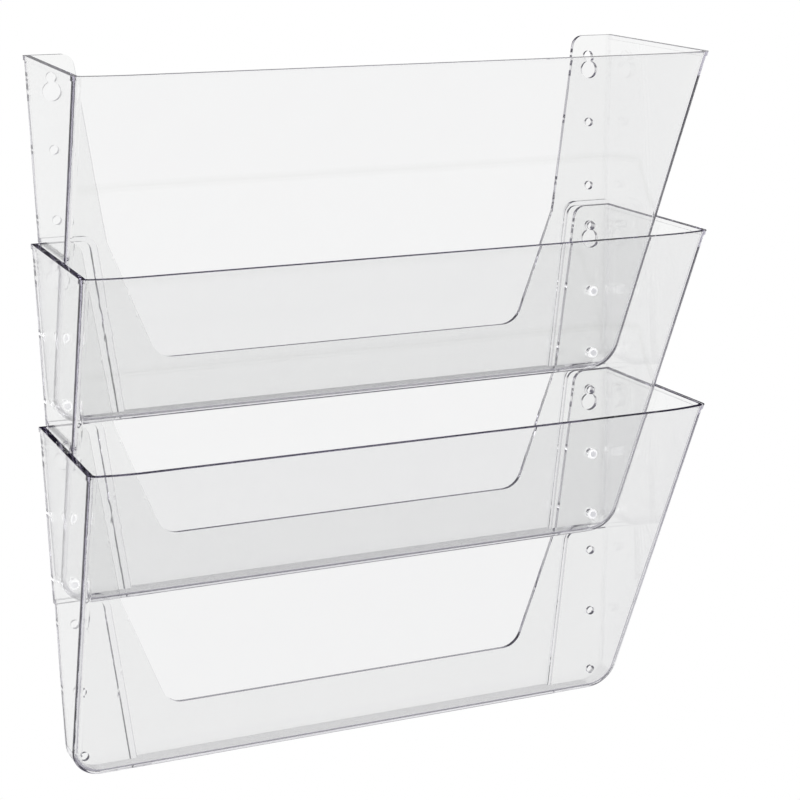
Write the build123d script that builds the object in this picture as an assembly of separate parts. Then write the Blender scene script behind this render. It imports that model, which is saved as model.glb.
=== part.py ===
from build123d import *
import math
import os

# A wall file: three identical clear pockets hung one below the other, 13 inches wide
# at the back and 4 inches deep at the rim. Lengths in millimetres, +Z up, +Y into the
# wall, origin on the wall plane midway between the narrow ends of the top keyholes.

# Driving dimensions of one pocket.
pocket_width = 330.2            # across the ears at the wall, lip included
pocket_depth = 101.6            # wall to front of the rim, lip included
pocket_height = 182.5           # top of the ears to underside, at the wall
pocket_pitch = 93.1             # from each pocket down to the next
sheet = 2.6                     # moulded wall thickness
side_inset_per_pitch = 3.2      # the sides draw in by this much in one pitch down
side_splay_angle = 2.45         # degrees; the tub widens and deepens away from the wall

# The keyholes and the round holes that line up with the pocket below.
ear_top = 11.1                  # height of the ear tops over the keyhole's narrow end
hole_half_spacing = 149.6       # centre line to the hole row in each ear
screw_seat_radius = 2.7
screw_entry_radius = 4.75
screw_entry_drop = 7.0
screw_neck_width = 3.7
hole_radius = 2.3
upper_hole_drop = 35.8          # keyhole's narrow end down to the first round hole
lower_hole_drop = 70.8          # and to the second

# Rim, corners and the front's lean.
lip_proud = 0.6                 # rim bead stands out from the sheet
lip_height = 2.4
rim_fall = 4.3                  # rim drops this much from the ears to the front
front_foot_depth = 16.6         # wall to the front sheet at the very bottom
bottom_corner_radius = 15.0
front_corner_radius = 4.5
front_sweep_length = 28.0       # the front sheet curves back over this much at each side
front_sweep_depth = 4.0         # and by this much

# The back: ears, the big cut-out, and the step that clears the next pocket's ears.
ear_width_at_top = 23.6
ear_edge_lean = 0.149           # the ear's inner edge moves in by this per unit of drop
ear_corner_radius = 6.5
ear_length = 94.0
cutout_lean = 0.395
cutout_drop = 154.8             # ear tops to the cut-out's bottom edge
cutout_corner_radius = 12.0
step_gap = 0.3                  # air between a stepped back and the ear behind it
step_drop = 92.6                # ear tops to the underside of the ledge
step_from_side = 28.5           # ledge corner inboard of the side's top corner
step_lean = 0.128
step_corner_radius = 5.0

# Two-piece push rivets that tie each pocket to the one below.
sleeve_radius = 2.25
sleeve_bore_radius = 1.1
sleeve_head_radius = 2.8
sleeve_head_thickness = 1.0
sleeve_slit_width = 0.6
sleeve_slit_length = 3.8
pin_radius = 1.05
pin_head_radius = 1.7
pin_head_thickness = 0.8
pin_tip_short = 0.7             # the pin stops this far inside the wall plane
pin_tip_chamfer = 0.3
head_edge_radius = 0.35

# Values that follow from the ones above.
side_slope = side_inset_per_pitch / pocket_pitch
splay = math.tan(math.radians(side_splay_angle))
half_width = pocket_width / 2 - lip_proud
front_depth = pocket_depth - lip_proud
front_slope = (front_depth - front_foot_depth) / (pocket_height - rim_fall)
front_sweep_radius = (front_sweep_length**2 + front_sweep_depth**2) / (2 * front_sweep_depth)
bottom = ear_top - pocket_height
front_rim_height = ear_top - rim_fall
step_depth = sheet + step_gap
overrun = 20.0                  # how far cutting tools run past the sheet they cut
skin = 0.05                     # a cut that stops inside the pocket stops this far past
same_place = 0.01               # points closer than this count as one
faces_forward = 0.5             # a normal with more Y than this faces front or back
well_in_front = pocket_depth * 3
sweep_drawn = 30.0              # degrees of each swept end drawn, past the side sheets
away_from_wall = (0, -1, 0)


def upright_face(points):
    """A face in the wall plane from (x, z) corners."""
    return make_face(Plane.XZ * Polyline(*points, close=True))


def slab(face, near, far):
    """The face drawn out between two distances in front of the wall plane."""
    return Pos(0, -near, 0) * extrude(face, far - near, dir=away_from_wall)


def splayed_slab(face, near, far):
    """As slab, but widening on every side as it leaves the wall."""
    return extrude(Pos(0, -near, 0) * face, near - far, taper=-side_splay_angle)


def tub(grow):
    """The pocket's solid outer form, grown outward (or inward) by a wall's thickness."""
    back = max(-grow, 0.0)
    spread = grow + splay * back
    top_half = half_width + spread
    base = bottom - spread
    low_half = top_half - side_slope * (ear_top - base)
    high_half = top_half + side_slope * overrun
    outline = upright_face([
        (-high_half, ear_top + overrun), (high_half, ear_top + overrun),
        (low_half, base), (-low_half, base),
    ])
    lower_corners = outline.vertices().sort_by(Axis.Z)[:2]
    outline = fillet(lower_corners, bottom_corner_radius + spread)
    body = splayed_slab(outline, back, pocket_depth + overrun * 2)
    body = body - front_cutter(grow)
    front = body.faces().filter_by(lambda f: abs(f.normal_at().Y) > faces_forward).sort_by(Axis.Y)[0]
    foot_edge = front.edges().sort_by(Axis.Z)[:1]
    return fillet(foot_edge, front_corner_radius + grow)


def front_cutter(grow):
    """Everything in front of the leaning front sheet, whose two ends sweep back."""
    radius = front_sweep_radius + grow * math.hypot(1, front_slope)
    flat_half = half_width + splay * front_depth - front_sweep_length
    centre_y = front_sweep_radius - front_depth
    left_end = CenterArc((-flat_half, centre_y), radius, -90 - sweep_drawn, sweep_drawn)
    right_end = CenterArc((flat_half, centre_y), radius, -90, sweep_drawn)
    plan = make_face(
        left_end
        + Line(left_end @ 1, right_end @ 0)
        + right_end
        + Polyline(
            right_end @ 1, ((right_end @ 1).X, -well_in_front),
            ((left_end @ 0).X, -well_in_front), left_end @ 0,
        )
    )
    rise = overrun * 2 + rim_fall
    fall = pocket_height + overrun
    top_plan = Pos(0, -front_slope * rise, front_rim_height + rise) * plan
    down_the_front = (0, front_slope, -1)
    return extrude(top_plan, (rise + fall) * math.hypot(1, front_slope), dir=down_the_front)


def above_rim(drop):
    """Everything above the rim plane, which falls gently from the ears to the front."""
    fall_per_unit = rim_fall / front_depth
    reach = pocket_depth * 2
    height = ear_top - drop
    side = make_face(Plane.YZ * Polyline(
        (overrun, height), (0, height), (-reach, height - fall_per_unit * reach),
        (-reach, height + pocket_height), (overrun, height + pocket_height), close=True,
    ))
    return extrude(side, pocket_width, both=True)


def step_region(spread, depth):
    """The stepped part of the back on both sides, outboard of a leaning line."""
    ledge = ear_top - step_drop + spread
    inner_top = half_width - step_from_side - spread
    low = bottom - overrun
    inner_low = inner_top - step_lean * (ledge - low)
    outer = pocket_width
    region = upright_face([(inner_top, ledge), (outer, ledge), (outer, low), (inner_low, low)])
    inner_corner = region.vertices().sort_by(Axis.X)[1:2]
    region = fillet(inner_corner, step_corner_radius + spread)
    one_side = slab(region, -overrun, depth)
    return one_side + mirror(one_side, Plane.YZ)


def back_cutout():
    """The large opening in the back, open at the top between the ears."""
    top_half = half_width - ear_width_at_top
    ear_foot = top_half - ear_edge_lean * ear_length
    base_half = ear_foot - cutout_lean * (cutout_drop - ear_length)
    base = ear_top - cutout_drop
    break_height = ear_top - ear_length
    opening = upright_face([
        (-top_half, ear_top), (top_half, ear_top), (ear_foot, break_height),
        (base_half, base), (-base_half, base), (-ear_foot, break_height),
    ])
    opening = fillet(opening.vertices().sort_by(Axis.Z)[:2], cutout_corner_radius)
    above = upright_face([
        (-top_half - ear_corner_radius * 2, ear_top + overrun),
        (top_half + ear_corner_radius * 2, ear_top + overrun),
        (top_half + ear_corner_radius * 2, ear_top),
        (-top_half - ear_corner_radius * 2, ear_top),
    ])
    shape = opening + above
    throat = [
        v for v in shape.vertices()
        if abs(v.Z - ear_top) < same_place and abs(abs(v.X) - top_half) < same_place
    ]
    shape = fillet(throat, ear_corner_radius)
    return slab(shape, -overrun, sheet + skin)


def round_hole(x, drop, radius):
    centre = Pos(x, 0, -drop)
    return centre * Rot(90, 0, 0) * Cylinder(radius, overrun)


def keyhole(x):
    """A screw enters the large round end and snaps up through the neck to its seat."""
    seat = round_hole(x, 0, screw_seat_radius)
    entry = round_hole(x, screw_entry_drop, screw_entry_radius)
    neck = Pos(x, 0, -screw_entry_drop / 2) * Box(screw_neck_width, overrun, screw_entry_drop)
    return seat + entry + neck


def pocket():
    """One moulded pocket, its keyholes' narrow ends at height zero."""
    shell = tub(0) - above_rim(0)
    lip = tub(lip_proud) - above_rim(0)
    lip = lip & above_rim(lip_height)
    shell = shell + lip
    shell = shell - step_region(0, step_depth)
    hollow = tub(-sheet) - step_region(sheet, step_depth + sheet)
    shell = shell - hollow
    shell = shell - back_cutout()
    for x in (-hole_half_spacing, hole_half_spacing):
        shell = shell - keyhole(x)
        for drop in (upper_hole_drop, lower_hole_drop):
            shell = shell - round_hole(x, drop, hole_radius)
            shell = shell - round_hole(x, drop + pocket_pitch, hole_radius)
        shell = shell - round_hole(x, pocket_pitch, hole_radius)
    return shell


def rivet_sleeve():
    """Headed nylon sleeve, slit at its wall end so the pin can spread it."""
    length = step_depth + sheet
    shank = Pos(0, -length / 2, 0) * Rot(90, 0, 0) * Cylinder(sleeve_radius, length)
    head = Rot(90, 0, 0) * Cylinder(sleeve_head_radius, sleeve_head_thickness)
    head = Pos(0, -length - sleeve_head_thickness / 2, 0) * head
    head = fillet(head.edges().sort_by(Axis.Y)[:1], head_edge_radius)
    sleeve = shank + head
    sleeve = sleeve - Rot(90, 0, 0) * Cylinder(sleeve_bore_radius, overrun)
    slit_middle = Pos(0, -sleeve_slit_length / 2, 0)
    sleeve = sleeve - slit_middle * Box(overrun, sleeve_slit_length, sleeve_slit_width)
    return sleeve - slit_middle * Box(sleeve_slit_width, sleeve_slit_length, overrun)


def rivet_pin():
    """Headed pin that is pushed through the sleeve to lock it."""
    seat = step_depth + sheet + sleeve_head_thickness
    length = seat - pin_tip_short
    shaft = Rot(90, 0, 0) * Cylinder(pin_radius, length)
    shaft = chamfer(shaft.edges().sort_by(Axis.Y)[-1:], pin_tip_chamfer)
    shaft = Pos(0, -pin_tip_short - length / 2, 0) * shaft
    head = Rot(90, 0, 0) * Cylinder(pin_head_radius, pin_head_thickness)
    head = fillet(head.edges().sort_by(Axis.Y)[:1], head_edge_radius)
    return shaft + Pos(0, -seat - pin_head_thickness / 2, 0) * head


os.makedirs("parts", exist_ok=True)

one_pocket = pocket()
for level, name in enumerate(("top_pocket", "middle_pocket", "bottom_pocket")):
    export_step(Pos(0, 0, -level * pocket_pitch) * one_pocket, f"parts/{name}.step")

one_sleeve = rivet_sleeve()
one_pin = rivet_pin()
for joined, level in (("top", 1), ("middle", 2)):
    for side, x in (("left", -hole_half_spacing), ("right", hole_half_spacing)):
        for row, drop in (("upper", upper_hole_drop), ("lower", lower_hole_drop)):
            place = Pos(x, 0, -level * pocket_pitch - drop)
            stem = f"parts/{joined}_{side}_{row}_rivet"
            export_step(place * one_sleeve, stem + "_sleeve.step")
            export_step(place * one_pin, stem + "_pin.step")
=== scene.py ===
import math

import bpy
from mathutils import Euler, Matrix

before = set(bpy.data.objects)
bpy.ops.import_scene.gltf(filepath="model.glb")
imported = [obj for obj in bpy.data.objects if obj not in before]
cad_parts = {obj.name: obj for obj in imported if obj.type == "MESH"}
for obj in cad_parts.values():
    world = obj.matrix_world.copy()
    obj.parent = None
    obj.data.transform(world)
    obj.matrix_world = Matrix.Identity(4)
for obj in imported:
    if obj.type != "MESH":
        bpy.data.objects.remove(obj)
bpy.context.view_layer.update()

scene = bpy.context.scene
print("frame loaded:", len(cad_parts), "nodes")

pocketNames = ["top_pocket", "middle_pocket", "bottom_pocket"]
sleeveNames = sorted(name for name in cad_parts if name.endswith("_sleeve"))
pinNames = sorted(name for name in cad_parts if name.endswith("_pin"))


class Wire:
    # one output socket; adding or multiplying wires adds Math nodes
    def __init__(self, tree, socket):
        self.tree = tree
        self.socket = socket

    def maths(self, operation, *values):
        return self.tree.add("ShaderNodeMath", {"operation": operation}, dict(enumerate(values)))[0]

    def __add__(self, other):
        return self.maths("ADD", self, other)

    def __radd__(self, other):
        return self.maths("ADD", other, self)

    def __sub__(self, other):
        return self.maths("SUBTRACT", self, other)

    def __rsub__(self, other):
        return self.maths("SUBTRACT", other, self)

    def __mul__(self, other):
        return self.maths("MULTIPLY", self, other)

    def __rmul__(self, other):
        return self.maths("MULTIPLY", other, self)

    def __pow__(self, exponent):
        return self.maths("POWER", self, exponent)

    def between(self, low, high):
        # 0 below low, 1 above high, smooth in between
        settings = {"interpolation_type": "SMOOTHSTEP"}
        values = {"Value": self, "From Min": low, "From Max": high}
        return self.tree.add("ShaderNodeMapRange", settings, values)[0]


class NodeTree:
    # the nodes of one material or of the world
    def __init__(self, tree):
        self.tree = tree
        tree.nodes.clear()

    def add(self, kind, settings=None, inputs=None):
        # makes any node and returns its outputs
        node = self.tree.nodes.new(kind)
        for key, value in (settings or {}).items():
            setattr(node, key, value)
        for key, value in (inputs or {}).items():
            socket = node.inputs[key]
            if isinstance(value, Wire):
                self.tree.links.new(value.socket, socket)
            else:
                socket.default_value = value
        return [Wire(self, output) for output in node.outputs]

    def noise(self, scale, detail):
        place = self.add("ShaderNodeTexCoord")[3]
        inputs = {"Vector": place, "Scale": scale, "Detail": detail}
        return self.add("ShaderNodeTexNoise", None, inputs)[0]

    def blend(self, share, first, second):
        inputs = {0: share, 6: first, 7: second}
        return self.add("ShaderNodeMix", {"data_type": "RGBA"}, inputs)[2]


def newMaterial(name):
    material = bpy.data.materials.new(name)
    material.use_nodes = True
    return material, NodeTree(material.node_tree)


# clear moulded polystyrene
plastic = {
    "clear": (0.982, 0.986, 0.978, 1.0),
    "hazy": (0.966, 0.969, 0.962, 1.0),
    "ior": 1.57,
    "roughness": 0.004,
    "haze": 0.03,
    "flowScale": 7.0,
    "flowDetail": 2.0,
    "flowHeight": 0.0006,
    "flowStrength": 0.05,
    "hazeScale": 40.0,
    "hazeDetail": 5.0,
    "hazeContrast": 3.0,
    "depthColour": (0.50, 0.46, 0.60, 1.0),
    "depthDensity": 12.0,
}


def clearPlastic(name):
    material, nodes = newMaterial(name)
    flow = nodes.noise(plastic["flowScale"], plastic["flowDetail"])
    haze = nodes.noise(plastic["hazeScale"], plastic["hazeDetail"]) ** plastic["hazeContrast"]
    bump = nodes.add("ShaderNodeBump", None, {
        "Height": flow,
        "Strength": plastic["flowStrength"],
        "Distance": plastic["flowHeight"],
    })[0]
    shader = nodes.add("ShaderNodeBsdfPrincipled", None, {
        "Base Color": nodes.blend(haze, plastic["clear"], plastic["hazy"]),
        "Roughness": plastic["roughness"] + plastic["haze"] * haze,
        "IOR": plastic["ior"],
        "Transmission Weight": 1.0,
        "Normal": bump,
    })[0]
    depth = nodes.add("ShaderNodeVolumeAbsorption", None, {
        "Color": plastic["depthColour"],
        "Density": plastic["depthDensity"],
    })[0]
    nodes.add("ShaderNodeOutputMaterial", None, {"Surface": shader, "Volume": depth})
    return material


# white push rivets, given a painted glow: emission that stands in for the light falling on them
nylon = {
    "sleeve": (0.90, 0.90, 0.90, 1.0),
    "pin": (0.62, 0.62, 0.64, 1.0),
    "shade": 0.93,
    "ior": 1.53,
    "grainScale": 900.0,
    "grainDetail": 4.0,
    "grainHeight": 0.00005,
    "grainStrength": 0.3,
    "grainRoughness": 0.1,
    "sleeveRoughness": 0.38,
    "pinRoughness": 0.30,
    # painted light: the emission strength that makes the rivets glow white as if lit
    "paintedGlow": 1.2,
}


def whiteNylonWithPaintedGlow(name, colour, roughness):
    material, nodes = newMaterial(name)
    grain = nodes.noise(nylon["grainScale"], nylon["grainDetail"])
    darker = tuple(part * nylon["shade"] for part in colour[:3]) + (1.0,)
    bump = nodes.add("ShaderNodeBump", None, {
        "Height": grain,
        "Strength": nylon["grainStrength"],
        "Distance": nylon["grainHeight"],
    })[0]
    shader = nodes.add("ShaderNodeBsdfPrincipled", None, {
        "Base Color": nodes.blend(grain, colour, darker),
        "Roughness": roughness + nylon["grainRoughness"] * grain,
        "IOR": nylon["ior"],
        # painted light: the nylon glows in its own colour, standing in for the light on the rivets
        "Emission Color": colour,
        "Emission Strength": nylon["paintedGlow"],
        "Normal": bump,
    })[0]
    nodes.add("ShaderNodeOutputMaterial", None, {"Surface": shader})
    return material


def dress(names, material):
    for name in names:
        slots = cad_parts[name].data.materials
        slots.clear()
        slots.append(material)


dress(pocketNames, clearPlastic("clearPolystyrene"))
dress(sleeveNames, whiteNylonWithPaintedGlow("sleeveNylon", nylon["sleeve"], nylon["sleeveRoughness"]))
dress(pinNames, whiteNylonWithPaintedGlow("pinNylon", nylon["pin"], nylon["pinRoughness"]))
print("materials given")


# a white room, greyer in front and on the left, dark overhead and grey on the near floor,
# so that clear sheets keep a tone and their edges draw dark
studio = {
    "floorSize": 40.0,
    "floorHeight": -1.3,
    "white": (1.0, 1.0, 1.0, 1.0),
    "front": (0.65, 0.65, 0.65, 1.0),
    "frontTurn": (0.10, 0.50),
    "left": (0.80, 0.80, 0.81, 1.0),
    "leftTurn": (0.06, 0.34),
    "dark": (0.035, 0.03, 0.05, 1.0),
    "under": (0.40, 0.39, 0.44, 1.0),
    "darkRise": (0.0, 0.26),
    "underReach": (1.2, 2.4),
    "lightBounces": 72,
}


def roomColour(nodes, across, back, shade, darkness):
    # the room's tone in one level direction, taken to darkness by shade
    ahead = (0.0 - back).between(*studio["frontTurn"])
    aside = (0.0 - across).between(*studio["leftTurn"]) * back.between(*studio["frontTurn"])
    tone = nodes.blend(ahead, studio["white"], studio["front"])
    tone = nodes.blend(aside, tone, studio["left"])
    return nodes.blend(shade, tone, darkness)


def studioFloor():
    bpy.ops.mesh.primitive_plane_add(size=studio["floorSize"], location=(0, 0, studio["floorHeight"]))
    floor = bpy.context.object
    floor.name = "studioFloor"
    material, nodes = newMaterial("paleFloor")
    place = nodes.add("ShaderNodeTexCoord")[3]
    reach = nodes.add("ShaderNodeVectorMath", {"operation": "LENGTH"}, {0: place})[1]
    near = 1.0 - reach.between(*studio["underReach"])
    heading = nodes.add("ShaderNodeVectorMath", {"operation": "NORMALIZE"}, {0: place})[0]
    across, back = nodes.add("ShaderNodeSeparateXYZ", None, {0: heading})[:2]
    seen = nodes.add("ShaderNodeLightPath")[0]
    colour = nodes.blend(seen, roomColour(nodes, across, back, near, studio["under"]), studio["white"])
    light = nodes.add("ShaderNodeEmission", None, {"Color": colour, "Strength": 1.0})[0]
    nodes.add("ShaderNodeOutputMaterial", None, {"Surface": light})
    floor.data.materials.append(material)


def studioWorld():
    world = bpy.data.worlds.new("studio")
    scene.world = world
    world.use_nodes = True
    nodes = NodeTree(world.node_tree)
    direction = nodes.add("ShaderNodeTexCoord")[0]
    across, back, rise = nodes.add("ShaderNodeSeparateXYZ", None, {0: direction})
    steep = rise.between(*studio["darkRise"])
    seen = nodes.add("ShaderNodeLightPath")[0]
    colour = nodes.blend(seen, roomColour(nodes, across, back, steep, studio["dark"]), studio["white"])
    background = nodes.add("ShaderNodeBackground", None, {"Color": colour, "Strength": 1.0})[0]
    nodes.add("ShaderNodeOutputWorld", None, {"Surface": background})


studioFloor()
studioWorld()
scene.view_settings.view_transform = "Standard"
scene.cycles.max_bounces = studio["lightBounces"]
scene.cycles.transmission_bounces = studio["lightBounces"]
scene.cycles.glossy_bounces = studio["lightBounces"]
print("studio lit")


view = {
    "sensorWidth": 36.0,
    "lens": 103.1,
    "shiftX": -0.10,
    "shiftY": -0.0875,
    "bearing": -26.39,
    "pitch": 10.60,
    "roll": -0.36,
    "place": (-0.4657, -1.1066, 0.0836),
}


def addCamera():
    lens = bpy.data.cameras.new("camera")
    lens.sensor_width = view["sensorWidth"]
    lens.lens = view["lens"]
    lens.shift_x = view["shiftX"]
    lens.shift_y = view["shiftY"]
    camera = bpy.data.objects.new("camera", lens)
    scene.collection.objects.link(camera)
    tilt = math.radians(90.0 - view["pitch"])
    bearing = math.radians(view["bearing"])
    turn = Euler((tilt, 0.0, bearing), "XYZ").to_matrix()
    turn = turn @ Matrix.Rotation(math.radians(view["roll"]), 3, "Z")
    camera.matrix_world = Matrix.Translation(view["place"]) @ turn.to_4x4()
    scene.camera = camera


addCamera()
print("camera placed")
